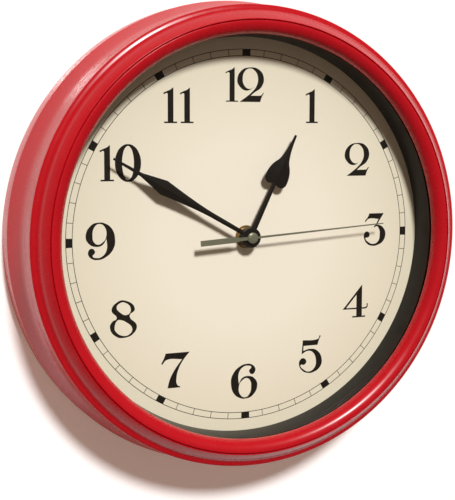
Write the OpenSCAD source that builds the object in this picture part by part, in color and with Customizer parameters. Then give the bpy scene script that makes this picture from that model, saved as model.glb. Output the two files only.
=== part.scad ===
// Round quartz wall clock: deep pressed case, stepped bezel, recessed dial and a working gear train.
// The row frame has +X right, +Z up and the wall at y = 0, with the clock standing out towards -Y.
// Every module draws in face coordinates: x right, y up, z away from the wall, centred on the dial.

/* [Case] */
// Outer radius of the bezel
bezel_r = 150; // [149.6:0.1:150.4]
// Radius of the rear band that stands against the wall
rear_r = 155.4; // [155:0.1:157]
// Height of the bezel's groove above the wall
groove_z = 59.5; // [59.2:0.1:60]
// Thickness of the pressed sheet
sheet = 1; // [0.9:0.05:1.1]

/* [Dial] */
// Height of the dial's face above the wall
dial_z = 31.3; // [31.2:0.1:31.8]
// Thickness of the dial sheet
dial_t = 0.8; // [0.6:0.1:1]
// Radius of the dial sheet, which runs on under the spacer ring
dial_r = 138; // [137:0.5:140]
// Radius of the dial that shows inside the spacer ring
opening_r = 130.7; // [130:0.1:131]
// Thickness of the front glass
lens_t = 2; // [1.5:0.1:2]

/* [Hands] */
// Clock angle of the hour hand at rest
hour_angle = 26.4; // [0:0.1:360]
// Clock angle of the minute hand at rest
minute_angle = 299.2; // [0:0.1:360]
// Clock angle of the second hand at rest
second_angle = 86.1; // [0:0.1:360]
// Thickness of a hand's sheet
hand_t = 0.6; // [0.4:0.1:0.7]

/* [Movement] */
// Width and height of the movement housing
housing_w = 56; // [56:0.5:60]
// Wall thickness of the movement housing
housing_wall = 1.3; // [1:0.1:1.4]
// Radius of the battery
battery_r = 7.25; // [6.9:0.05:7.25]
// Radial clearance of a turning shaft in its bore
running_gap = 0.05; // [0.02:0.01:0.08]

/* [Hanging] */
// Distance from the dial's centre up to the hanging point
hang_drop = 118; // [105:1:125]
// Radius of the keyhole's entry
keyhole_r = 5; // [4.5:0.5:6]
// Radius of the keyhole's slot
slot_r = 2.5; // [2:0.25:3]
// Half the width of the window behind the movement
window_half = 33; // [32:1:40]

/* [Hidden] */
$fn = 96;

// Case section
lens_front_z = 51;
ring_seat_z = lens_front_z - lens_t - 1.5;
mouth_z = lens_front_z - 2.4;
band_z = 13.2;
roll_r = 0.9;
roll_centre = [bezel_r - roll_r, 49.4];
bead_r = 7.2;
bead_centre = [138.3, 52.3];
plate_z = 2;

// Stack on the centre shaft, measured from the wall
housing_back_z = 14;
cover_t = 1.2;
housing_front_z = dial_z - dial_t - 1;
floor_z = housing_front_z - 1.5;
bush_r = 3.95;
bush_top_z = dial_z + 5.5;
hour_plate_z = dial_z + 6.6;
minute_plate_z = dial_z + 8.9;
second_plate_z = dial_z + 10.9;
hub_r = 6.6;
arbor_r = 0.5;
minute_tube_r = 1.65;
hour_tube_r = 2.6;
pivot_r = 0.35;
pivot_back_z = housing_back_z - cover_t + 0.2;

// Gear train: teeth, then the places of the arbors worked out from the centre distances
rotor_teeth = 8;
intermediate_teeth = 48;
intermediate_pinion = 8;
second_teeth = 40;
second_pinion = 8;
third_teeth = 60;
third_pinion = 8;
minute_teeth = 64;
cannon_teeth = 12;
reverser_teeth = 36;
reverser_pinion = 10;
hour_teeth = 40;
knob_teeth = 12;
rotor_module = 0.2;
second_module = 0.27;
third_module = 0.25;
cannon_module = 0.375;
third_distance = (third_teeth + second_pinion) / 2 * third_module;
minute_module = 2 * third_distance / (minute_teeth + third_pinion);
reverser_distance = (cannon_teeth + reverser_teeth) / 2 * cannon_module;
hour_module = 2 * reverser_distance / (hour_teeth + reverser_pinion);
intermediate_distance = (second_teeth + intermediate_pinion) / 2 * second_module;
rotor_distance = (rotor_teeth + intermediate_teeth) / 2 * rotor_module;
knob_distance = (knob_teeth + reverser_teeth) / 2 * cannon_module;
intermediate_bearing = 165;
rotor_bearing = 150;
third_bearing = 60;
reverser_bearing = -10;
knob_bearing = 20;
intermediate_at = polar(intermediate_distance, intermediate_bearing);
rotor_at = intermediate_at + polar(rotor_distance, rotor_bearing);
third_at = polar(third_distance, third_bearing);
reverser_at = polar(reverser_distance, reverser_bearing);
knob_at = reverser_at + polar(knob_distance, knob_bearing);

// Each gear's turn at rest puts a gap of it against a tooth of the gear that drives it
second_turn = 0;
intermediate_pinion_turn = meshed(second_turn, second_teeth, intermediate_pinion, intermediate_bearing);
rotor_turn = meshed(0, intermediate_teeth, rotor_teeth, rotor_bearing);
third_turn = meshed(0, second_pinion, third_teeth, third_bearing);
minute_turn = meshed(0, third_pinion, minute_teeth, third_bearing + 180);
reverser_turn = meshed(0, cannon_teeth, reverser_teeth, reverser_bearing);
hour_turn = meshed(0, reverser_pinion, hour_teeth, reverser_bearing + 180);
knob_turn = meshed(reverser_turn, reverser_teeth, knob_teeth, knob_bearing);

// Battery bay and the parts round it
bay_top = -9.6;
battery_y = -18.3;
battery_z = 20.6;
battery_left = -24.3;
battery_len = 49.2;
coil_len = 20;
pole_z = 17.8;
pole_t = 0.8;
coil_at = [-10, 20.5, pole_z + pole_t / 2];
bridge_z = 19.9;
bridge_t = 0.9;
bridge_left = -25;
bridge_right = -4.6;
bridge_posts = [[-22.5, 11.5], [-22.5, -5.5]];
board_at = [4, 17];
board_size = [21.5, 9];
board_z = 15.2;
board_t = 0.8;

function polar(r, a) = [r * cos(a), r * sin(a)];

// Points along a circular arc
function arc(centre, r, from, to, steps) =
    [for (i = [0:steps]) centre + polar(r, from + (to - from) * i / steps)];

// Points along a curve that leaves a towards c and reaches b from it
function bend(a, c, b, steps) =
    [for (i = [0:steps]) let (t = i / steps) (1 - t) * (1 - t) * a + 2 * t * (1 - t) * c + t * t * b];

// Turn of a driven gear, in degrees, so that its teeth stand in the driver's gaps at a bearing
function meshed(turn, teeth, driven_teeth, bearing) =
    let (share = (bearing - turn) * teeth / 360)
    bearing + 180 - (0.5 - (share - floor(share))) * 360 / driven_teeth;

// Outline of a gear; root_half and tip_half are parts of one tooth pitch
function gear_outline(teeth, module_mm, turn, root_half) =
    let (root = (teeth / 2 - 1.15) * module_mm, tip = (teeth / 2 + 0.85) * module_mm, tip_half = 0.08)
    [for (i = [0:teeth - 1]) for (corner = [[root, -root_half], [tip, -tip_half], [tip, tip_half], [root, root_half]])
        polar(corner[0], turn + (i + corner[1]) * 360 / teeth)];

// From face coordinates to the row frame, hung at the keyhole
module hung() {
    translate([0, 0, -hang_drop]) rotate([90, 0, 0]) children();
}

// A disc or tube from one height to another
module tube(r, low, high, bore = 0) {
    translate([0, 0, low]) difference() {
        cylinder(r = r, h = high - low);
        if (bore > 0) translate([0, 0, -1]) cylinder(r = bore, h = high - low + 2);
    }
}

// A flat outline from one height to another
module slab(low, high) {
    translate([0, 0, low]) linear_extrude(height = high - low) children();
}

// A solid turned about the clock's axis from a section of radius and height
module turned(section) {
    rotate_extrude($fn = 180) polygon(section);
}

// A toothed wheel with a round hole of its arbor's size
module wheel(teeth, module_mm, turn, low, high, hole) {
    slab(low, high) difference() {
        polygon(gear_outline(teeth, module_mm, turn, 0.36));
        circle(r = hole);
    }
}

module pinion(teeth, module_mm, turn, low, high, hole) {
    slab(low, high) difference() {
        polygon(gear_outline(teeth, module_mm, turn, 0.28));
        circle(r = hole);
    }
}

// A pan-head screw whose head sits at z = 0 and whose shank runs to +z
module pan_screw(head_r, head_h, shank_r, shank_len) {
    translate([0, 0, -head_h]) difference() {
        cylinder(r1 = head_r * 0.8, r2 = head_r, h = head_h);
        for (turn = [0, 90]) rotate([0, 0, turn])
            translate([-head_r * 0.5, -0.35, -1]) cube([head_r, 0.7, 1.6]);
    }
    cylinder(r = shank_r, h = shank_len);
}

module around(count, r, first = 0) {
    for (i = [0:count - 1]) rotate([0, 0, first + i * 360 / count]) translate([r, 0, 0]) children();
}

// Lays a hand, drawn pointing up, at a clock angle
module at_clock_angle(angle) {
    rotate([0, 0, -angle]) children();
}

// ---- case ----

module bezel() color("crimson") hung() {
    outer = concat(
        arc(roll_centre, roll_r, -90, 50, 8),
        arc([146.6, 46.1], 5, 56, 77, 4),
        bend([147.5, 51.05], [146, 51.5], [144.5, 53.9], 5),
        bend([144.4, 54.1], [142, 57.2], [139.9, groove_z - 0.4], 4),
        [[139.5, groove_z - 1.8]],
        arc(bead_centre, bead_r, 85, 186, 14));
    inner = concat(
        [[131.8, lens_front_z], [133.4, lens_front_z]],
        arc(bead_centre, bead_r - sheet, 180, 95, 9),
        [[139.2, groove_z - 2.9]],
        bend([143.6, 53.6], [145.6, 50.8], [147.6, 49.9], 5),
        [[148.8, 48.9]]);
    turned(concat(outer, inner));
}

module case_shell() color("firebrick") hung() difference() {
    turned(concat(
        [[rear_r, 0], [rear_r, band_z], [rear_r - 0.5, band_z + 1]],
        bend([151.2, 24], [149.4, 28.8], [149.3, 34], 5),
        [[149.3, ring_seat_z], [148.6, ring_seat_z],
        [148.6, mouth_z], [147.6, mouth_z], [147.6, ring_seat_z], [139.5, ring_seat_z],
        [139.5, ring_seat_z - sheet], [147.8, ring_seat_z - sheet]],
        bend([148.1, 34], [148.2, 28.6], [150, 23.6], 5),
        [[rear_r - 1.6, band_z], [rear_r - 1.6, plate_z + 2 * sheet],
        [138, plate_z + 2 * sheet], [138, plate_z + sheet],
        [rear_r - 1.2, plate_z + sheet], [rear_r - 1.2, 0]]));
    around(4, 144, 45) cylinder(r = 1.5, h = 10);
}

module lens() color("azure", 0.3) hung() {
    tube(145.2, lens_front_z - lens_t, lens_front_z);
}

module spacer_ring() color([0.16, 0.16, 0.14]) hung() difference() {
    union() {
        turned([
            [opening_r, dial_z], [opening_r + 0.9, lens_front_z - lens_t], [147.3, lens_front_z - lens_t],
            [147.3, ring_seat_z], [opening_r + 2.3, ring_seat_z], [opening_r + 2.1, dial_z]]);
        around(6, 135, 30) tube(2.8, dial_z, dial_z + 9);
    }
    around(6, 135, 30) translate([0, 0, dial_z - 1]) cylinder(r = 1.2, h = 8);
}

module dial() color("cornsilk") hung() difference() {
    tube(dial_r, dial_z - dial_t, dial_z, bush_r + 0.15);
    around(6, 135, 30) translate([0, 0, dial_z - 2]) cylinder(r = 1.3, h = 3);
}

module dial_screws() color("silver") hung() {
    around(6, 135, 30) translate([0, 0, dial_z - dial_t]) pan_screw(2.4, 1.6, 1.2, 6.5);
}

module back_plate() color("dimgray") hung() difference() {
    tube(150, plate_z, plate_z + sheet);
    translate([0, 0, plate_z + sheet / 2]) cube([2 * window_half, 2 * window_half, 3], center = true);
    translate([0, hang_drop - 9, 0]) cylinder(r = keyhole_r, h = 5);
    slab(0, 5) {
        translate([0, hang_drop]) circle(r = slot_r);
        translate([-slot_r, hang_drop - 9]) square([2 * slot_r, 9]);
    }
    around(4, 144, 45) cylinder(r = 1.6, h = 5);
}

module back_screws() color("silver") hung() {
    around(4, 144, 45) translate([0, 0, plate_z]) pan_screw(2.8, 1.6, 1.5, 4);
}

// ---- movement case ----

module front_housing() color([0.13, 0.13, 0.13]) hung() difference() {
    union() {
        slab(floor_z, housing_front_z) square(housing_w, center = true);
        slab(housing_back_z, floor_z) difference() {
            square(housing_w, center = true);
            square(housing_w - 2 * housing_wall, center = true);
        }
        translate([-housing_w / 2, bay_top - 1, housing_back_z + 0.2])
            cube([housing_w, 1, floor_z - housing_back_z - 0.2]);
        for (post = bridge_posts) translate(post) tube(1.4, bridge_z + bridge_t, floor_z);
        tube(bush_r, housing_front_z, bush_top_z);
    }
    translate([0, 0, floor_z - 1]) cylinder(r = hour_tube_r + running_gap, h = 12);
    for (at = [third_at, reverser_at]) translate(at) bearing(floor_z - 1, floor_z + 0.6);
}

// A bearing hole for a pivot, drawn as the material to take away
module bearing(low, high) {
    translate([0, 0, low]) cylinder(r = pivot_r + running_gap, h = high - low, $fn = 32);
}

module rear_cover() color([0.2, 0.2, 0.2]) hung() difference() {
    slab(housing_back_z - cover_t, housing_back_z)
        translate([-housing_w / 2, bay_top - 1]) square([housing_w, housing_w / 2 - bay_top + 1]);
    for (at = [third_at, reverser_at, intermediate_at, rotor_at])
        translate(at) bearing(housing_back_z - 2, housing_back_z + 1);
    translate([0, 0, housing_back_z - 2]) cylinder(r = arbor_r + running_gap, h = 3, $fn = 32);
    translate([knob_at[0], knob_at[1], housing_back_z - 2]) cylinder(r = 1.2 + running_gap, h = 3);
}

module train_bridge() color("ivory") hung() difference() {
    slab(bridge_z, bridge_z + bridge_t)
        translate([bridge_left, -8]) square([bridge_right - bridge_left, 22]);
    for (at = [intermediate_at, rotor_at]) translate(at) bearing(bridge_z - 1, bridge_z + 2);
}

module rubber_washer() color([0.08, 0.08, 0.08]) hung() {
    tube(9, housing_front_z, dial_z - dial_t, bush_r + 0.1);
}

module shaft_washer() color("gold") hung() {
    tube(7.6, dial_z, dial_z + 0.5, bush_r + 0.1);
}

module shaft_nut() color("goldenrod") hung() difference() {
    translate([0, 0, dial_z + 0.5]) intersection() {
        cylinder(r = 6.9, h = 2.4, $fn = 6);
        cylinder(r1 = 6.9, r2 = 6.2, h = 2.4);
    }
    translate([0, 0, dial_z]) cylinder(r = bush_r, h = 5);
}

// ---- wheels and hands on the centre shaft ----

module hour_wheel() color("gold") hung() {
    wheel(hour_teeth, hour_module, hour_turn, 25, 26, minute_tube_r + running_gap);
    tube(hour_tube_r, 26, dial_z + 7.4, minute_tube_r + running_gap);
}

module hour_hand() color([0.09, 0.08, 0.07]) hung() {
    lobe = arc([4.3, 42.2], 4.1, -135, 0, 8);
    flank = bend([8.4, 43.4], [8.2, 50], [4.5, 54.5], 5);
    point = bend([4.2, 55], [1.3, 61], [0.8, 74.6], 6);
    side = concat([[2, hub_r - 1]], lobe, flank, point);
    slab(hour_plate_z, hour_plate_z + hand_t) at_clock_angle(hour_angle) mirrored_outline(side);
    tube(hub_r, hour_plate_z - 0.3, hour_plate_z + 0.8, hour_tube_r);
    tube(4, dial_z + 5.7, hour_plate_z - 0.3, hour_tube_r);
}

module minute_wheel() color("gold") hung() {
    wheel(minute_teeth, minute_module, minute_turn, 21.2, 22, arbor_r + running_gap);
    pinion(cannon_teeth, cannon_module, 0, 22, 24.4, arbor_r + running_gap);
    tube(minute_tube_r, 24.4, dial_z + 9.9, arbor_r + running_gap);
}

module minute_hand() color([0.09, 0.08, 0.07]) hung() {
    side = concat([[1.4, hub_r - 1]], bend([1.65, 33], [2, 46], [4.95, 69.6], 5), [[1.2, 86.8], [0.7, 107.8]]);
    slab(minute_plate_z, minute_plate_z + hand_t) at_clock_angle(minute_angle) mirrored_outline(side);
    tube(hub_r, minute_plate_z - 0.7, minute_plate_z + 0.7, minute_tube_r);
}

module second_wheel() color("ivory") hung() {
    wheel(second_teeth, second_module, second_turn, 17.2, 18, arbor_r);
    pinion(second_pinion, third_module, 0, 18, 20.4, arbor_r);
    tube(arbor_r, pivot_back_z, dial_z + 11.2);
}

module second_hand() color([0.52, 0.52, 0.45]) hung() {
    side = [[1.85, -36.7], [1.85, -12.4], [1.1, -8.8], [1.1, -3.6], [0.7, 3.6], [0.35, 98.5]];
    slab(second_plate_z, second_plate_z + 0.4) at_clock_angle(second_angle) difference() {
        mirrored_outline(side);
        circle(r = arbor_r);
    }
    difference() {
        union() {
            tube(3.6, second_plate_z - 0.6, second_plate_z + 0.9);
            translate([0, 0, second_plate_z + 0.9]) cylinder(r1 = 3.6, r2 = 2.5, h = 0.5);
        }
        tube(arbor_r, second_plate_z - 1, dial_z + 11.2);
    }
}

// A closed outline from its right side, listed from the bottom up
module mirrored_outline(side) {
    last = len(side) - 1;
    polygon(concat(side, [for (i = [last:-1:0]) [-side[i][0], side[i][1]]]));
}

// ---- the rest of the train ----

module third_wheel() color("ivory") hung() translate(third_at) {
    wheel(third_teeth, third_module, third_turn, 19, 19.8, pivot_r);
    pinion(third_pinion, minute_module, 0, 19.8, 22.4, pivot_r);
    tube(pivot_r, pivot_back_z, floor_z + 0.4);
}

module intermediate_wheel() color("ivory") hung() translate(intermediate_at) {
    wheel(intermediate_teeth, rotor_module, 0, 15.7, 16.5, pivot_r);
    pinion(intermediate_pinion, second_module, intermediate_pinion_turn, 16.5, 18.4, pivot_r);
    tube(pivot_r, pivot_back_z, bridge_z + 0.7);
}

module rotor() color("slategray") hung() translate(rotor_at) {
    pinion(rotor_teeth, rotor_module, rotor_turn, 15.4, 17.3, pivot_r);
    tube(2.6, 17.3, 19.1, pivot_r);
    tube(pivot_r, pivot_back_z, bridge_z + 0.7);
}

module reverser_wheel() color("gold") hung() translate(reverser_at) {
    wheel(reverser_teeth, cannon_module, reverser_turn, 22.8, 23.8, pivot_r);
    pinion(reverser_pinion, hour_module, 0, 23.8, 26.4, pivot_r);
    tube(pivot_r, pivot_back_z, floor_z + 0.4);
}

module setting_knob() color("whitesmoke") hung() translate(knob_at) {
    pinion(knob_teeth, cannon_module, knob_turn, 22.8, 23.8, 1.2);
    tube(1.2, 12.4, 24.4);
    difference() {
        tube(5.5, 9.4, 12.4);
        around(18, 5.6, 10) translate([0, 0, 9]) cylinder(r = 0.45, h = 4, $fn = 16);
    }
}

// ---- motor and electronics ----

module stator() color("silver") hung() difference() {
    slab(pole_z, pole_z + pole_t) {
        translate(rotor_at) circle(r = 4.1);
        for (side = [-1, 1]) {
            leg_x = coil_at[0] + side * (coil_len / 2 + 2);
            bar(rotor_at, [leg_x, 11.5], 1.2);
            bar([leg_x, 10.8], [leg_x, coil_at[1] + 1], 1.2);
        }
        translate([coil_at[0] - coil_len / 2 - 2, coil_at[1] - 1]) square([coil_len + 4, 2]);
    }
    translate(rotor_at) cylinder(r = 3.1, h = 40);
}

// A straight flat bar between two points
module bar(from, to, half) {
    reach = to - from;
    translate(from) rotate([0, 0, atan2(reach[1], reach[0])])
        translate([0, -half]) square([norm(reach), 2 * half]);
}

module coil_bobbin() color("whitesmoke") hung() translate(coil_at) rotate([0, 90, 0]) difference() {
    union() {
        for (end = [-1, 1]) translate([0, 0, end * (coil_len / 2 - 0.4) - 0.4]) cylinder(r = 3.9, h = 0.8);
        translate([0, 0, -coil_len / 2]) cylinder(r = 1.9, h = coil_len);
    }
    cube([pole_t + 0.1, 2.1, coil_len + 2], center = true);
}

module coil_winding() color("peru") hung() translate(coil_at) rotate([0, 90, 0]) {
    translate([0, 0, -coil_len / 2 + 0.8]) difference() {
        cylinder(r = 3.5, h = coil_len - 1.6);
        translate([0, 0, -1]) cylinder(r = 1.9, h = coil_len);
    }
}

module circuit_board() color("darkgreen") hung() {
    slab(board_z, board_z + board_t) translate(board_at) square(board_size);
}

module chip_cover() color([0.05, 0.05, 0.05]) hung() intersection() {
    translate([board_at[0] + 6, board_at[1] + 4.5, board_z + board_t - 2.2]) sphere(r = 3.6);
    slab(board_z + board_t, board_z + 5) translate(board_at) square(board_size);
}

module quartz_crystal() color("silver") hung() {
    translate([board_at[0] + 12, board_at[1] + 4.5, board_z + board_t + 1]) rotate([0, 90, 0])
        cylinder(r = 1, h = 6);
}

module positive_contact() color("khaki") hung() {
    inner_wall = housing_w / 2 - housing_wall;
    translate([inner_wall - 0.4, battery_y - 4, 16]) cube([0.4, 8, 9]);
}

module negative_contact() color("khaki") hung() {
    inner_wall = housing_w / 2 - housing_wall;
    translate([-inner_wall, battery_y - 4, 16]) cube([0.4, 8, 9]);
    for (i = [0:3]) translate([-inner_wall + 0.4 + i * 0.45, battery_y, battery_z]) rotate([0, 90, 0])
        rotate_extrude() translate([3.2 - i * 0.5, 0.25]) circle(r = 0.25, $fn = 16);
}

module battery() color("darkorange") hung()
    translate([battery_left, battery_y, battery_z]) rotate([0, 90, 0]) {
        cylinder(r = battery_r, h = battery_len);
        translate([0, 0, battery_len]) cylinder(r = 2.7, h = 1.2);
    }

bezel();
case_shell();
lens();
spacer_ring();
dial();
dial_screws();
back_plate();
back_screws();
front_housing();
rear_cover();
train_bridge();
rubber_washer();
shaft_washer();
shaft_nut();
hour_wheel();
hour_hand();
minute_wheel();
minute_hand();
second_wheel();
second_hand();
third_wheel();
intermediate_wheel();
rotor();
stator();
coil_bobbin();
coil_winding();
reverser_wheel();
setting_knob();
circuit_board();
chip_cover();
quartz_crystal();
positive_contact();
negative_contact();
battery();
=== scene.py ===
import math

import bmesh
import bpy
from mathutils import Matrix, Quaternion, Vector


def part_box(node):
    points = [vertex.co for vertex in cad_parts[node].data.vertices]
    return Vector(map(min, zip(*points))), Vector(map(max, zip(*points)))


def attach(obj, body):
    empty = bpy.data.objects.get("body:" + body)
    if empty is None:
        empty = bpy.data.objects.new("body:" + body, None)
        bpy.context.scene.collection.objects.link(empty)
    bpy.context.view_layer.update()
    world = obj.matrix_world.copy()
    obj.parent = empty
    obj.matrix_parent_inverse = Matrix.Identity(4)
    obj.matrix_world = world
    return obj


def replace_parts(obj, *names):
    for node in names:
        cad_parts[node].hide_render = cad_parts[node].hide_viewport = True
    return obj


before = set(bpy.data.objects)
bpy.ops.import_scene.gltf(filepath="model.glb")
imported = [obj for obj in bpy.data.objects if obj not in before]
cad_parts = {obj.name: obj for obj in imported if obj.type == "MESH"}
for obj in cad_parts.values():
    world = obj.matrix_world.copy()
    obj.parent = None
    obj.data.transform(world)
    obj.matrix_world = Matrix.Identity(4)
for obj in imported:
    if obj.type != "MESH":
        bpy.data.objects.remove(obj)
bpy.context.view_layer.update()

# Face coordinates, in millimetres: x right, y up, z away from the wall, centred on the dial
HANG_DROP = 118
FACE = Matrix(((1, 0, 0, 0), (0, 0, -1, 0), (0, 1, 0, -HANG_DROP), (0, 0, 0, 1)))
FACE = Matrix.Scale(0.001, 4) @ FACE

# Heights above the wall; a hand's height is that of its blade's underside
DIAL_Z = 31.3
LENS_BACK_Z = 49.0
LENS_FRONT_Z = 51.0
RING_SEAT_Z = 47.5
HOUR_Z = 37.9
MINUTE_Z = 40.2
SECOND_Z = 42.2

# The bezel's fat inner bead and the roll at its outer edge
BEAD_CENTRE = (138.3, 52.3)
BEAD_R = 7.2
ROLL_CENTRE = (149.1, 49.4)
ROLL_R = 0.9
SHEET_T = 1

# Radii of the two hubs, of the tubes that they sit on and of the second hand's cap
HUB_R = 6.6
HOUR_TUBE_R = 2.6
MINUTE_TUBE_R = 1.65
CAP_R = 3.6

# The hands' clock angles at rest
HOUR_ANGLE = 26.4
MINUTE_ANGLE = 299.2
SECOND_ANGLE = 86.1

# Printing on the dial: the half widths of the track's blocks and ticks are in degrees
INK_T = 0.06
TRACK_INNER = 118.5
TRACK_OUTER = 122.7
LINE_HALF = 0.2
BLOCK_HALF = 1.37
TICK_HALF = 0.085
NUMERAL_R = 98.2
CAP_HEIGHT = 22.4
NUMERAL_WEIGHT = 0.12

# Sides of the turned rings and of the hubs
RING_SIDES = 288
HUB_SIDES = 96


# ---- outlines ----

def polar(radius, degrees):
    angle = math.radians(degrees)
    return radius * math.cos(angle), radius * math.sin(angle)


def on_clock(radius, degrees):
    """A point of the dial at a clock angle, which starts at the top and turns to the right."""
    angle = math.radians(degrees)
    return radius * math.sin(angle), radius * math.cos(angle)


def arc(centre, radius, start, end, steps):
    """Points along a circular arc."""
    points = []
    for i in range(steps + 1):
        x, y = polar(radius, start + (end - start) * i / steps)
        points.append((centre[0] + x, centre[1] + y))
    return points


def bend(start, control, end, steps):
    """Points along a curve that leaves start towards control and reaches end from it."""
    points = []
    for i in range(steps + 1):
        t = i / steps
        weights = (1 - t) ** 2, 2 * t * (1 - t), t * t
        points.append(tuple(
            weights[0] * start[k] + weights[1] * control[k] + weights[2] * end[k] for k in (0, 1)))
    return points


def softened(section, radius, steps=4):
    """A closed section with its sharp corners rounded; gentle bends of a curve stay as they are."""
    result = []
    count = len(section)
    for i, corner in enumerate(section):
        corner = Vector(corner)
        before = Vector(section[i - 1]) - corner
        after = Vector(section[(i + 1) % count]) - corner
        if before.angle(after) > math.radians(155):
            result.append(tuple(corner))
            continue
        reach = min(radius, before.length * 0.45, after.length * 0.45)
        start = corner + before.normalized() * reach
        end = corner + after.normalized() * reach
        result += bend(start, corner, end, steps)
    return result


# ---- meshes ----

def piece_from(name, bm, body, material, smooth_angle=30):
    """Turns a bmesh in face coordinates into a piece that rides on a body."""
    bmesh.ops.remove_doubles(bm, verts=bm.verts, dist=1e-4)
    bmesh.ops.recalc_face_normals(bm, faces=bm.faces)
    mesh = bpy.data.meshes.new(name)
    bm.to_mesh(mesh)
    bm.free()
    mesh.transform(FACE)
    mesh.materials.append(material)
    for polygon in mesh.polygons:
        polygon.use_smooth = True
    mesh.set_sharp_from_angle(angle=math.radians(smooth_angle))
    piece = bpy.data.objects.new(name, mesh)
    bpy.context.scene.collection.objects.link(piece)
    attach(piece, body)
    return piece


def add_turned(bm, section, sides):
    """Adds a closed ring swept round the clock's axis from a section of (radius, height)."""
    rings = []
    for i in range(sides):
        cos, sin = polar(1, 360 * i / sides)
        rings.append([bm.verts.new((radius * cos, radius * sin, height)) for radius, height in section])
    for i, ring in enumerate(rings):
        following = rings[(i + 1) % sides]
        for k in range(len(section)):
            step = (k + 1) % len(section)
            bm.faces.new((ring[k], following[k], following[step], ring[step]))


def add_arc_bar(bm, inner, outer, start, end, low, high, steps):
    """Adds a thin bar that follows the dial's circle between two clock angles."""
    stations = []
    for i in range(steps + 1):
        angle = start + (end - start) * i / steps
        corners = (inner, low), (outer, low), (outer, high), (inner, high)
        stations.append([bm.verts.new((*on_clock(radius, angle), height)) for radius, height in corners])
    for this, following in zip(stations, stations[1:]):
        for k in range(4):
            step = (k + 1) % 4
            bm.faces.new((this[k], this[step], following[step], following[k]))
    bm.faces.new(stations[0])
    bm.faces.new(stations[-1])


def height_at(crest, y):
    """Height of a hand's ridge at a distance from the pivot, between the crest's points."""
    for (y0, h0), (y1, h1) in zip(crest, crest[1:]):
        if y <= y1:
            return h0 + (h1 - h0) * max(0, (y - y0) / (y1 - y0))
    return crest[-1][1]


def add_blade(bm, side, crest, low, edge):
    """Adds a hand's blade with a ridge along its middle; side is the right half of its outline."""
    spine_y = []
    for _, y in side:
        spine_y.append(max([y] + spine_y))
    halves = []
    spine_low = [bm.verts.new((0, y, low)) for y in spine_y]
    spine_top = [bm.verts.new((0, y, low + edge + height_at(crest, y))) for y in spine_y]
    for sign in (1, -1):
        rim_low = [bm.verts.new((sign * x, y, low)) for x, y in side]
        rim_top = [bm.verts.new((sign * x, y, low + edge)) for x, y in side]
        halves.append((rim_low, rim_top))
        for i in range(len(side) - 1):
            for a, b in ((rim_low, spine_low), (rim_low, rim_top), (rim_top, spine_top)):
                bm.faces.new((a[i], a[i + 1], b[i + 1], b[i]))
    for end in (0, -1):
        (low_right, top_right), (low_left, top_left) = halves
        bm.faces.new((spine_low[end], low_right[end], top_right[end], spine_top[end]))
        bm.faces.new((spine_low[end], low_left[end], top_left[end], spine_top[end]))


def turn_to_clock(bm, degrees):
    turn = Matrix.Rotation(math.radians(-degrees), 3, "Z")
    bmesh.ops.rotate(bm, verts=bm.verts, cent=(0, 0, 0), matrix=turn)


# ---- materials ----

def new_material(name):
    material = bpy.data.materials.new(name)
    material.use_nodes = True
    nodes = material.node_tree.nodes
    nodes.clear()
    output = nodes.new("ShaderNodeOutputMaterial")
    return material, nodes, material.node_tree.links, output


def noise(nodes, links, size, stretch=(1, 1, 1), detail=3):
    """A noise pattern whose features are about size millimetres across, before they are stretched."""
    place = nodes.new("ShaderNodeTexCoord")
    mapping = nodes.new("ShaderNodeMapping")
    mapping.inputs["Scale"].default_value = [1 / s for s in stretch]
    pattern = nodes.new("ShaderNodeTexNoise")
    pattern.inputs["Scale"].default_value = 1000 / size
    pattern.inputs["Detail"].default_value = detail
    links.new(place.outputs["Object"], mapping.inputs["Vector"])
    links.new(mapping.outputs["Vector"], pattern.inputs["Vector"])
    return pattern.outputs["Fac"]


def ramp(nodes, links, value, stops, constant=False):
    """Colours along a value, from (position, colour) stops."""
    node = nodes.new("ShaderNodeValToRGB")
    if constant:
        node.color_ramp.interpolation = "CONSTANT"
    elements = node.color_ramp.elements
    while len(elements) < len(stops):
        elements.new(0.5)
    for element, (position, colour) in zip(elements, stops):
        element.position = position
        element.color = (*colour, 1)
    links.new(value, node.inputs["Fac"])
    return node.outputs["Color"]


def spread(nodes, links, value, low, high):
    """A pattern's middle range turned into a number between low and high."""
    node = nodes.new("ShaderNodeMapRange")
    node.inputs["From Min"].default_value = 0.3
    node.inputs["From Max"].default_value = 0.7
    node.inputs["To Min"].default_value = low
    node.inputs["To Max"].default_value = high
    links.new(value, node.inputs["Value"])
    return node.outputs["Result"]


def scaled(colour, factor):
    return tuple(min(1, part * factor) for part in colour)


def surface(name, colour, rough, metal=0.0, mottle=0.05, patch=18, grain=0.8, relief=0.01,
            stretch=(1, 1, 1), shine=0.5):
    """A finish whose shade changes slowly over patches and whose roughness and relief change over grains.

    patch, grain and relief are in millimetres.
    """
    material, nodes, links, output = new_material(name)
    shader = nodes.new("ShaderNodeBsdfPrincipled")
    slow = noise(nodes, links, patch, stretch)
    fine = noise(nodes, links, grain, stretch, detail=5)
    stops = [(0.3, scaled(colour, 1 - mottle)), (0.7, scaled(colour, 1 + mottle))]
    links.new(ramp(nodes, links, slow, stops), shader.inputs["Base Color"])
    links.new(spread(nodes, links, fine, rough * 0.85, rough * 1.15), shader.inputs["Roughness"])
    bump = nodes.new("ShaderNodeBump")
    bump.inputs["Strength"].default_value = 1.0
    bump.inputs["Distance"].default_value = relief / 1000
    links.new(fine, bump.inputs["Height"])
    links.new(bump.outputs["Normal"], shader.inputs["Normal"])
    shader.inputs["Metallic"].default_value = metal
    shader.inputs["Specular IOR Level"].default_value = shine
    links.new(shader.outputs["BSDF"], output.inputs["Surface"])
    return material


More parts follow.
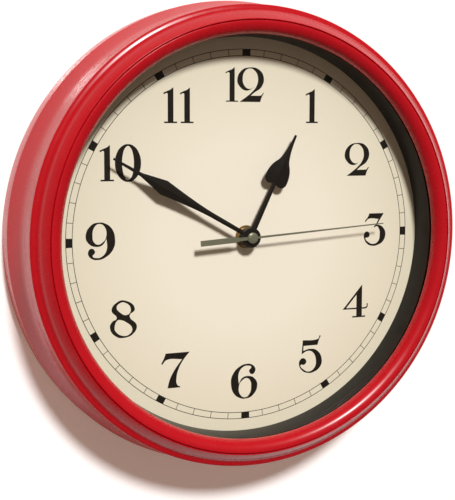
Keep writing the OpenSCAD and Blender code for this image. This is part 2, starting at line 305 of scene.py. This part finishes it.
def clear_glass():
    """Thin clear glass: it lets light straight through and mirrors more at a low angle."""
    material, nodes, links, output = new_material("clear_glass")
    index = 1.3
    fresnel = nodes.new("ShaderNodeFresnel")
    side = nodes.new("ShaderNodeNewGeometry")
    bending = nodes.new("ShaderNodeMapRange")
    bending.inputs["To Min"].default_value = index
    bending.inputs["To Max"].default_value = 1 / index
    links.new(side.outputs["Backfacing"], bending.inputs["Value"])
    links.new(bending.outputs["Result"], fresnel.inputs["IOR"])
    through = nodes.new("ShaderNodeBsdfTransparent")
    mirror = nodes.new("ShaderNodeBsdfGlossy")
    smear = noise(nodes, links, 60)
    links.new(spread(nodes, links, smear, 0.0, 0.03), mirror.inputs["Roughness"])
    mix = nodes.new("ShaderNodeMixShader")
    links.new(fresnel.outputs["Fac"], mix.inputs["Fac"])
    links.new(through.outputs["BSDF"], mix.inputs[1])
    links.new(mirror.outputs["BSDF"], mix.inputs[2])
    links.new(mix.outputs["Shader"], output.inputs["Surface"])
    return material


def battery_sleeve():
    """A printed film sleeve in two plain colours with bare metal at both ends."""
    material, nodes, links, output = new_material("battery_sleeve")
    shader = nodes.new("ShaderNodeBsdfPrincipled")
    place = nodes.new("ShaderNodeTexCoord")
    parts = nodes.new("ShaderNodeSeparateXYZ")
    low_end, high_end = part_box("battery")
    along = nodes.new("ShaderNodeMapRange")
    along.inputs["From Min"].default_value = low_end.x
    along.inputs["From Max"].default_value = high_end.x
    links.new(place.outputs["Object"], parts.inputs["Vector"])
    links.new(parts.outputs["X"], along.inputs["Value"])
    steel, black, copper = (0.6, 0.6, 0.6), (0.015, 0.015, 0.016), (0.55, 0.22, 0.07)
    film_start, copper_start, film_end = 0.012, 0.7, 0.965
    bands = [(0.0, steel), (film_start, black), (copper_start, copper), (film_end, steel)]
    links.new(ramp(nodes, links, along.outputs["Result"], bands, constant=True), shader.inputs["Base Color"])
    full, none, part = (1, 1, 1), (0, 0, 0), (0.6, 0.6, 0.6)
    bare = [(0.0, full), (film_start, none), (copper_start, part), (film_end, full)]
    links.new(ramp(nodes, links, along.outputs["Result"], bare, constant=True), shader.inputs["Metallic"])
    links.new(spread(nodes, links, noise(nodes, links, 3), 0.22, 0.34), shader.inputs["Roughness"])
    links.new(shader.outputs["BSDF"], output.inputs["Surface"])
    return material


def dial_enamel_with_painted_shade():
    """Cream paint with painted shade: it deepens a little from the middle of the dial to its edge, where the
    recess shades it.
    """
    material, nodes, links, output = new_material("dial_enamel_with_painted_shade")
    shader = nodes.new("ShaderNodeBsdfPrincipled")
    place = nodes.new("ShaderNodeTexCoord")
    from_middle = nodes.new("ShaderNodeVectorMath")
    from_middle.operation = "DISTANCE"
    from_middle.inputs[1].default_value = FACE @ Vector((0, 0, DIAL_Z))
    outward = nodes.new("ShaderNodeMapRange")
    outward.inputs["From Max"].default_value = 0.13
    links.new(place.outputs["Object"], from_middle.inputs[0])
    links.new(from_middle.outputs["Value"], outward.inputs["Value"])
    # Painted shade: the cream darkens towards the dial's edge, standing in for the recess's shade
    shades = [(0.45, (0.97, 0.89, 0.73)), (1.0, (0.84, 0.77, 0.58))]
    links.new(ramp(nodes, links, outward.outputs["Result"], shades), shader.inputs["Base Color"])
    links.new(spread(nodes, links, noise(nodes, links, 0.4), 0.5, 0.6), shader.inputs["Roughness"])
    links.new(shader.outputs["BSDF"], output.inputs["Surface"])
    return material


case_paint = surface(
    "case_paint", (0.53, 0.005, 0.012), 0.26, mottle=0.03, patch=40, grain=12, relief=0.001, shine=0.42)
ring_plastic = surface(
    "ring_plastic", (0.013, 0.012, 0.010), 0.36, mottle=0.1, grain=0.5, relief=0.006, shine=0.12)
dial_ink = surface(
    "dial_ink", (0.012, 0.009, 0.006), 0.6, mottle=0.15, patch=6, grain=0.5, relief=0.003, shine=0.1)
hand_paint = surface(
    "hand_paint", (0.010, 0.008, 0.006), 0.34, mottle=0.1, grain=0.5, relief=0.003, shine=0.2)
needle_paint = surface("needle_paint", (0.20, 0.20, 0.13), 0.38, metal=0.35, grain=0.5, relief=0.003)
washer_brass = surface("washer_brass", (0.42, 0.28, 0.11), 0.34, metal=0.9, grain=0.5, stretch=(6, 1, 1))


# ---- case ----

def build_bezel():
    outer = arc(ROLL_CENTRE, ROLL_R, -90, 50, 10) + arc((146.6, 46.1), 5, 56, 77, 10)
    outer += bend((147.5, 51.05), (146, 51.5), (144.5, 53.9), 12)
    outer += bend((144.4, 54.1), (142, 57.2), (140.2, 59.1), 8)
    outer += [(139.9, 59.1), (139.5, 57.7)] + arc(BEAD_CENTRE, BEAD_R, 85, 186, 30)
    inner = [(131.8, LENS_FRONT_Z), (133.4, LENS_FRONT_Z)]
    inner += arc(BEAD_CENTRE, BEAD_R - SHEET_T, 180, 95, 12)
    inner += [(139.2, 56.6)] + bend((143.6, 53.6), (145.6, 50.8), (147.6, 49.9), 5) + [(148.8, 48.9)]
    bm = bmesh.new()
    add_turned(bm, softened(outer + inner, 0.3), RING_SIDES)
    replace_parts(piece_from("bezel_ring", bm, "case_body", case_paint), "bezel")


def build_shell():
    section = [(155.4, 0), (155.4, 13.2), (154.9, 14.2)]
    section += bend((151.2, 24), (149.4, 28.8), (149.3, 34), 10)
    section += [
        (149.3, RING_SEAT_Z), (148.3, RING_SEAT_Z), (148.3, 48.6), (147.6, 48.6), (147.6, RING_SEAT_Z),
        (139.5, RING_SEAT_Z), (139.5, 46.5), (147.6, 46.4)]
    section += bend((148.1, 34), (148.2, 28.6), (150, 23.6), 6)
    section += [(153.8, 13.2), (153.8, 4), (138, 4), (138, 3), (154.2, 3), (154.2, 0)]
    bm = bmesh.new()
    add_turned(bm, softened(section, 0.5), RING_SIDES)
    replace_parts(piece_from("case_wall", bm, "case_body", case_paint), "case_shell")


def build_spacer():
    section = [
        (130.7, DIAL_Z), (131.6, LENS_BACK_Z), (147.3, LENS_BACK_Z), (147.3, RING_SEAT_Z),
        (133, RING_SEAT_Z), (132.8, DIAL_Z)]
    bm = bmesh.new()
    add_turned(bm, softened(section, 0.2), RING_SIDES)
    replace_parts(piece_from("recess_ring", bm, "case_body", ring_plastic), "spacer_ring")


# ---- dial ----

# Numeral outlines in hundredths of the height of a 1. C marks a sharp corner.
C = 1
ONE = [[
    (8.1, 3.4, C), (8.1, 100, C), (-0.8, 93.5), (-8.9, 90.3), (-21.4, 84.7, C), (-20.2, 81.5, C),
    (-10.1, 84.6), (-8.1, 82, C), (-8.1, 3.4, C), (-19, 3.4, C), (-19, 0, C), (19, 0, C), (19, 3.4, C)]]
TWO = [[
    (7.5, 0, C), (73.5, 0, C), (79.2, 15.5), (85.8, 26.1, C), (82.3, 26.1, C), (76.5, 19.5),
    (68, 18.1, C), (42.9, 18.1, C), (54.4, 27), (78.3, 44.7), (85, 71.2), (69.5, 94.2), (42, 100),
    (13.7, 90.7), (0, 62.4), (7.5, 44.7), (30, 32.5), (55.3, 44.2, C), (38.5, 37.6), (22.6, 47.3),
    (17.3, 69.5), (26.1, 90.7), (42, 96.9), (58, 88.9), (66.4, 69.5), (61.5, 45.6), (47.3, 28.8),
    (27.9, 13.7)]]
THREE = [[
    (17.5, 100, C), (68, 100, C), (59.8, 88.5), (49.6, 73.1), (44.4, 63.7, C), (52.1, 63.7),
    (68.4, 53.4), (75.2, 34.6), (66.7, 13.2), (44.4, 1.3), (30.8, 0), (12, 6.4), (0, 26.1),
    (1, 38), (9.8, 44.4), (19.2, 35), (14, 26.8), (5.1, 25.2), (14.5, 11.5), (33.3, 5.1),
    (50.4, 13.2), (56, 36.3), (54.7, 48.3), (43.6, 61.1), (36.8, 57.3, C), (35, 59.4, C),
    (41, 65.4), (51.3, 83.3, C), (12.8, 83.3), (4.7, 74.8, C), (2.6, 77.4, C), (14.5, 91.9)]]
FOUR = [[
    (65.8, 100, C), (65.8, 29.5, C), (76, 29.5), (83.3, 33), (83.8, 41, C), (86.8, 41, C),
    (84.5, 29), (76, 26.1), (65.8, 26.1, C), (65.8, 3.4, C), (77.8, 3.4, C), (77.8, 0, C),
    (33.3, 0, C), (33.3, 3.4, C), (47.4, 3.4, C), (47.4, 26.1, C), (0, 26.5, C)],
    [(47.4, 71.8, C), (47.4, 29.5, C), (9.4, 29.5, C)]]
FIVE = [[
    (12.6, 101.6, C), (58, 101.4), (66, 104.5), (69.7, 113.5, C), (72.9, 112.1, C), (67, 100.7),
    (62.4, 85.7, C), (14.1, 85.2, C), (13.7, 68.4, C), (35.1, 73.8), (60.6, 67.5), (77.5, 36.9),
    (69.7, 14.1), (47.9, 1.4), (33.3, 0), (11.4, 8.7), (0, 29.6), (4, 42), (13.7, 46.5),
    (24.2, 36), (17, 27), (5, 26.5), (16, 10.5), (35.1, 3.6), (52.4, 13.2), (58.3, 35.1),
    (46, 64.3), (27.8, 68.8), (9.1, 60.2, C)]]
SIX = [[
    (52.3, 103.6), (30.3, 98.3), (4.8, 73.7), (0, 44.7), (10.1, 15.7), (32.1, 0.7), (44.4, -1),
    (67.3, 5.1), (84.9, 37.6), (74.3, 58.8), (55.9, 66.2), (37.4, 62.3), (24.2, 43, C),
    (24.2, 78), (38.3, 95.7), (54.1, 98.8), (66, 93.5), (58.9, 81.6), (68.6, 71.9), (78.3, 81.6),
    (77, 90.4), (67, 100.5)],
    [(25.9, 43), (35.6, 55.2), (49.7, 61.4), (62, 53.5), (66, 35), (60.2, 11.3), (47.1, 2),
     (30.3, 9.5)]]
SEVEN = [[
    (13.2, 102.1, C), (86.3, 102.6, C), (67.5, 80.8), (53, 56), (46.2, 31.2), (47.9, 8.1),
    (57.3, 1.3, C), (57.3, 0, C), (19.2, 0, C), (26.5, 26.1), (41.9, 53.4), (65, 83.3, C),
    (13.7, 83.3), (6.8, 76.5), (2.1, 70.9, C), (0, 73.5, C), (9.4, 91)]]
EIGHT = [[
    (43, 106.6), (73.7, 80.7), (57.9, 62.3), (79.4, 31.6), (69.3, 10.5), (43, 0), (18.4, 4.4),
    (0, 30.7), (7, 47.4), (20.2, 56.1), (5.3, 80.7), (22.8, 103.1)],
    [(43, 101.8), (62.7, 81.6), (52.6, 64.9), (27.2, 74.6), (19.3, 88.6), (28.9, 100)],
    [(28.9, 52.2), (48.2, 44.7), (66.7, 23.7), (58.8, 8.8), (39.5, 4.4), (14.9, 20.2), (12.7, 29.8),
     (22.8, 51.8)]]
NINE = [[(84.9 - point[0], 102.6 - point[1], *point[2:]) for point in outline] for outline in SIX]


def oval(centre, half_width, half_height):
    points = []
    for i in range(12):
        cos, sin = polar(1, 30 * i)
        points.append((centre[0] + half_width * cos, centre[1] + half_height * sin))
    return points


ZERO = [oval((38, 50), 38, 52.7), oval((38, 50), 18, 48.5)]

# Each hour's glyphs with the place of their left edge, and the point of the group that stands on the hour
HOURS = {
    1: ([(ONE, 0)], (3.4, 44.6)),
    2: ([(TWO, 0)], (50.6, 44.6)),
    3: ([(THREE, 0)], (37.6, 43.3)),
    4: ([(FOUR, 0)], (49.7, 45.5)),
    5: ([(FIVE, 0)], (39.6, 47.3)),
    6: ([(SIX, 0)], (46.1, 48.2)),
    7: ([(SEVEN, 0)], (47.5, 55.4)),
    8: ([(EIGHT, 0)], (41.5, 57.1)),
    9: ([(NINE, 0)], (51.4, 48.7)),
    10: ([(ONE, 0), (ZERO, 23.4)], (46.1, 48.2)),
    11: ([(ONE, 0), (ONE, 50.5)], (16.9, 46)),
    12: ([(ONE, 0), (TWO, 16.3)], (45.4, 42.9))}


def add_numeral(bm, outlines, centre, weight):
    """Adds flat outlines, given in millimetres from centre, thickened all round by weight."""
    curve = bpy.data.curves.new("numeral", "CURVE")
    curve.dimensions = "2D"
    curve.fill_mode = "BOTH"
    curve.extrude = INK_T / 2
    curve.offset = weight
    curve.resolution_u = 8
    for outline in outlines:
        spline = curve.splines.new("BEZIER")
        spline.bezier_points.add(len(outline) - 1)
        spline.use_cyclic_u = True
        for point, (x, y, *corner) in zip(spline.bezier_points, outline):
            point.co = (centre[0] + x, centre[1] + y, DIAL_Z + INK_T / 2)
            point.handle_left_type = "VECTOR" if corner else "AUTO"
            point.handle_right_type = point.handle_left_type
    drawing = bpy.data.objects.new("numeral_drawing", curve)
    bpy.context.scene.collection.objects.link(drawing)
    mesh = bpy.data.meshes.new_from_object(drawing.evaluated_get(bpy.context.evaluated_depsgraph_get()))
    bm.from_mesh(mesh)
    bpy.data.meshes.remove(mesh)
    bpy.data.objects.remove(drawing)


def build_numerals():
    bm = bmesh.new()
    unit = CAP_HEIGHT / 100
    for hour, (glyphs, middle) in HOURS.items():
        outlines = []
        for glyph, left in glyphs:
            shift = left - middle[0]
            for outline in glyph:
                outlines.append([
                    (unit * (x + shift), unit * (y - middle[1]), *corner) for x, y, *corner in outline])
        # Thickening breaks the fill of a 2
        weight = 0 if TWO in [glyph for glyph, _ in glyphs] else NUMERAL_WEIGHT
        add_numeral(bm, outlines, on_clock(NUMERAL_R, 30 * hour), weight)
    piece_from("numerals", bm, "case_body", dial_ink)


def build_track():
    low, high = DIAL_Z, DIAL_Z + INK_T
    bm = bmesh.new()
    for radius in (TRACK_INNER, TRACK_OUTER):
        inner, outer = radius - LINE_HALF, radius + LINE_HALF
        add_turned(bm, [(inner, low), (outer, low), (outer, high), (inner, high)], RING_SIDES)
    for minute in range(60):
        half = BLOCK_HALF if minute % 5 == 0 else TICK_HALF
        add_arc_bar(bm, TRACK_INNER, TRACK_OUTER, 6 * minute - half, 6 * minute + half, low, high, 4)
    piece_from("minute_track", bm, "case_body", dial_ink)


# ---- hands ----

def build_hub(name, body, material, section):
    bm = bmesh.new()
    add_turned(bm, softened(section, 0.2), HUB_SIDES)
    piece_from(name, bm, body, material)


def build_blade(name, body, material, side, crest, low, edge, angle, node):
    bm = bmesh.new()
    add_blade(bm, side, crest, low, edge)
    turn_to_clock(bm, angle)
    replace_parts(piece_from(name, bm, body, material, smooth_angle=6), node)


def build_hour_hand():
    side = [(2, 5.6)] + arc((4.3, 42.2), 4.1, -135, 0, 16)
    side += bend((8.4, 43.4), (8.2, 50), (4.5, 54.5), 10) + bend((4.2, 55), (1.3, 61), (0.8, 74.6), 12)
    crest = [(0, 0.3), (39, 0.3), (46, 0.85), (54, 0.55), (61, 0.3), (74.6, 0.1)]
    build_blade("hour_blade", "hour", hand_paint, side, crest, low=HOUR_Z, edge=0.3,
                angle=HOUR_ANGLE, node="hour_hand")
    section = [
        (HOUR_TUBE_R, 37), (4, 37), (4, HOUR_Z - 0.3), (HUB_R, HOUR_Z - 0.3), (HUB_R, HOUR_Z + 0.8),
        (HOUR_TUBE_R, HOUR_Z + 0.8)]
    build_hub("hour_hub", "hour", hand_paint, section)


def build_minute_hand():
    side = [(1.4, 5.6)] + bend((1.65, 33), (2, 46), (4.95, 69.6), 12) + [(1.2, 86.8), (0.7, 107.8)]
    crest = [(0, 0.3), (33, 0.3), (69.6, 0.8), (86.8, 0.25), (107.8, 0.1)]
    build_blade("minute_blade", "minute", hand_paint, side, crest, low=MINUTE_Z, edge=0.3,
                angle=MINUTE_ANGLE, node="minute_hand")
    low, high = MINUTE_Z - 0.7, MINUTE_Z + 0.7
    section = [(MINUTE_TUBE_R, low), (HUB_R, low), (HUB_R, high), (MINUTE_TUBE_R, high)]
    build_hub("minute_hub", "minute", hand_paint, section)


def build_second_hand():
    side = [(1.85, -36.7), (1.85, -12.4), (1.1, -8.8), (1.1, -3.6), (0.7, 3.6), (0.35, 98.5)]
    crest = [(-36.7, 0), (98.5, 0)]
    build_blade("second_blade", "second", needle_paint, side, crest, low=SECOND_Z, edge=0.4,
                angle=SECOND_ANGLE, node="second_hand")
    section = [
        (0.5, SECOND_Z - 0.6), (CAP_R, SECOND_Z - 0.6), (CAP_R, SECOND_Z + 0.9), (2.5, SECOND_Z + 1.4),
        (0.1, SECOND_Z + 1.4), (0.1, SECOND_Z + 0.3), (0.5, SECOND_Z + 0.3)]
    build_hub("second_cap", "second", needle_paint, section)


# ---- finishes of the parts that stay as designed ----

def finish_node(node, material):
    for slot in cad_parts[node].material_slots:
        slot.material = material


def finish_nodes():
    steel = surface("screw_steel", (0.55, 0.55, 0.53), 0.3, metal=1.0, grain=0.4, relief=0.004)
    moulding = surface("movement_plastic", (0.02, 0.02, 0.021), 0.42, mottle=0.12, grain=0.25, relief=0.012)
    white_plastic = surface("white_plastic", (0.78, 0.77, 0.72), 0.4, mottle=0.03, grain=0.6, relief=0.004)
    train_brass = surface("train_brass", (0.72, 0.50, 0.20), 0.26, metal=1.0, grain=0.3, relief=0.003)
    finishes = {
        "lens": clear_glass(),
        "dial": dial_enamel_with_painted_shade(),
        "dial_screws": steel,
        "back_screws": steel,
        "back_plate": surface("back_enamel", (0.03, 0.03, 0.032), 0.36, mottle=0.1, grain=1.2, relief=0.012),
        "front_housing": moulding,
        "rear_cover": moulding,
        "train_bridge": white_plastic,
        "second_wheel": white_plastic,
        "third_wheel": white_plastic,
        "intermediate_wheel": white_plastic,
        "coil_bobbin": white_plastic,
        "setting_knob": white_plastic,
        "rubber_washer": surface("washer_rubber", (0.02, 0.02, 0.02), 0.75, grain=0.3, relief=0.02),
        "shaft_washer": washer_brass,
        "shaft_nut": washer_brass,
        "hour_wheel": train_brass,
        "minute_wheel": train_brass,
        "reverser_wheel": train_brass,
        "rotor": surface("magnet", (0.12, 0.12, 0.13), 0.4, metal=0.6, grain=0.3, relief=0.006),
        "stator": surface("pole_steel", (0.45, 0.45, 0.46), 0.32, metal=1.0, stretch=(8, 1, 1), relief=0.004),
        "coil_winding": surface("coil_copper", (0.62, 0.20, 0.06), 0.3, metal=0.9, grain=0.12, relief=0.03),
        "circuit_board": surface("board_green", (0.01, 0.12, 0.04), 0.35, mottle=0.1, patch=3, relief=0.006),
        "chip_cover": surface("chip_black", (0.012, 0.012, 0.012), 0.2, grain=2, relief=0.02),
        "quartz_crystal": surface("crystal_steel", (0.6, 0.6, 0.6), 0.2, metal=1.0, grain=0.6),
        "positive_contact": surface("contact_steel", (0.6, 0.58, 0.52), 0.25, metal=1.0, grain=0.6),
        "battery": battery_sleeve(),
    }
    finishes["negative_contact"] = finishes["positive_contact"]
    for node, material in finishes.items():
        finish_node(node, material)


# ---- stage, lights and camera ----

def even_paint(nodes, links, colour):
    paint = nodes.new("ShaderNodeBsdfDiffuse")
    shades = [(0.3, scaled(colour, 0.985)), (0.7, colour)]
    links.new(ramp(nodes, links, noise(nodes, links, 300), shades), paint.inputs["Color"])
    return paint


def floor_material():
    """A pale paint to the camera, and a dim one to the light that would bounce up at the clock."""
    material, nodes, links, output = new_material("floor_paint")
    seen = even_paint(nodes, links, (0.86, 0.85, 0.84))
    dim = even_paint(nodes, links, (0.12, 0.1, 0.09))
    path = nodes.new("ShaderNodeLightPath")
    mix = nodes.new("ShaderNodeMixShader")
    links.new(path.outputs["Is Camera Ray"], mix.inputs["Fac"])
    links.new(dim.outputs["BSDF"], mix.inputs[1])
    links.new(seen.outputs["BSDF"], mix.inputs[2])
    links.new(mix.outputs["Shader"], output.inputs["Surface"])
    return material


def wall_material():
    """A pale paint with a faint warm glow. It can't be seen from behind and casts no shadow."""
    material, nodes, links, output = new_material("wall_paint")
    paint = even_paint(nodes, links, (1, 1, 1))
    glow = nodes.new("ShaderNodeEmission")
    glow.inputs["Color"].default_value = (1, 0.72, 0.58, 1)
    glow.inputs["Strength"].default_value = 0.19
    lit = nodes.new("ShaderNodeAddShader")
    links.new(paint.outputs["BSDF"], lit.inputs[0])
    links.new(glow.outputs["Emission"], lit.inputs[1])
    side = nodes.new("ShaderNodeNewGeometry")
    path = nodes.new("ShaderNodeLightPath")
    either = nodes.new("ShaderNodeMath")
    either.operation = "MAXIMUM"
    links.new(side.outputs["Backfacing"], either.inputs[0])
    links.new(path.outputs["Is Shadow Ray"], either.inputs[1])
    clear = nodes.new("ShaderNodeBsdfTransparent")
    mix = nodes.new("ShaderNodeMixShader")
    links.new(either.outputs["Value"], mix.inputs["Fac"])
    links.new(lit.outputs["Shader"], mix.inputs[1])
    links.new(clear.outputs["BSDF"], mix.inputs[2])
    links.new(mix.outputs["Shader"], output.inputs["Surface"])
    return material


def stage_plane(name, corners, material):
    mesh = bpy.data.meshes.new(name)
    mesh.from_pydata(corners, [], [(0, 1, 2, 3)])
    mesh.materials.append(material)
    plane = bpy.data.objects.new(name, mesh)
    bpy.context.scene.collection.objects.link(plane)


def build_stage():
    half, floor_z, wall_y = 3.0, -0.75, 0.0004
    stage_plane("wall", [
        (-half, wall_y, floor_z), (half, wall_y, floor_z), (half, wall_y, half), (-half, wall_y, half),
    ], wall_material())
    stage_plane("floor", [
        (-half, -half, floor_z), (half, -half, floor_z), (half, half, floor_z), (-half, half, floor_z),
    ], floor_material())


def add_light(name, kind, strength, towards, place=(0, 0, 0), **settings):
    lamp = bpy.data.lights.new(name, kind)
    lamp.energy = strength
    for key, value in settings.items():
        setattr(lamp, key, value)
    light = bpy.data.objects.new(name, lamp)
    light.location = place
    light.rotation_euler = Vector(towards).to_track_quat("-Z", "Y").to_euler()
    bpy.context.scene.collection.objects.link(light)


def build_world():
    """A dim warm room that the camera sees as a white backdrop."""
    world = bpy.data.worlds.new("studio")
    bpy.context.scene.world = world
    world.use_nodes = True
    nodes, links = world.node_tree.nodes, world.node_tree.links
    nodes.clear()
    output = nodes.new("ShaderNodeOutputWorld")
    room = nodes.new("ShaderNodeBackground")
    room.inputs["Color"].default_value = (1.0, 0.77, 0.58, 1)
    room.inputs["Strength"].default_value = 0.16
    backdrop = nodes.new("ShaderNodeBackground")
    backdrop.inputs["Color"].default_value = (1, 1, 1, 1)
    path = nodes.new("ShaderNodeLightPath")
    mix = nodes.new("ShaderNodeMixShader")
    links.new(path.outputs["Is Camera Ray"], mix.inputs["Fac"])
    links.new(room.outputs["Background"], mix.inputs[1])
    links.new(backdrop.outputs["Background"], mix.inputs[2])
    links.new(mix.outputs["Shader"], output.inputs["Surface"])


def build_lights():
    add_light("key", "SUN", 3.13, (-0.02, 1, -0.68), angle=math.radians(9))
    add_light("back_fill", "AREA", 0.16, (0.2, -1, -0.5), place=(-0.09, 0.45, 0.107), shape="DISK",
              size=0.26, spread=math.radians(8))


def build_camera():
    dial_centre = FACE @ Vector((0, 0, DIAL_Z))
    azimuth, elevation, distance = math.radians(-24.13), math.radians(5.354), 0.7758
    level = math.cos(elevation)
    away = Vector((math.sin(azimuth) * level, -math.cos(azimuth) * level, math.sin(elevation)))
    place = dial_centre + away * distance
    target = FACE @ Vector((-13.2, -8.4, DIAL_Z))
    roll = Quaternion((0, 0, 1), math.radians(0.11))
    lens = bpy.data.cameras.new("camera")
    lens.lens = 84.28
    lens.sensor_width = 36
    lens.clip_start = 0.01
    camera = bpy.data.objects.new("camera", lens)
    camera.location = place
    camera.rotation_euler = ((target - place).to_track_quat("-Z", "Y") @ roll).to_euler()
    bpy.context.scene.collection.objects.link(camera)
    bpy.context.scene.camera = camera


build_bezel()
build_shell()
build_spacer()
build_numerals()
build_track()
build_hour_hand()
build_minute_hand()
build_second_hand()
finish_nodes()
build_stage()
build_lights()
build_world()
build_camera()
bpy.context.scene.view_settings.view_transform = "Standard"
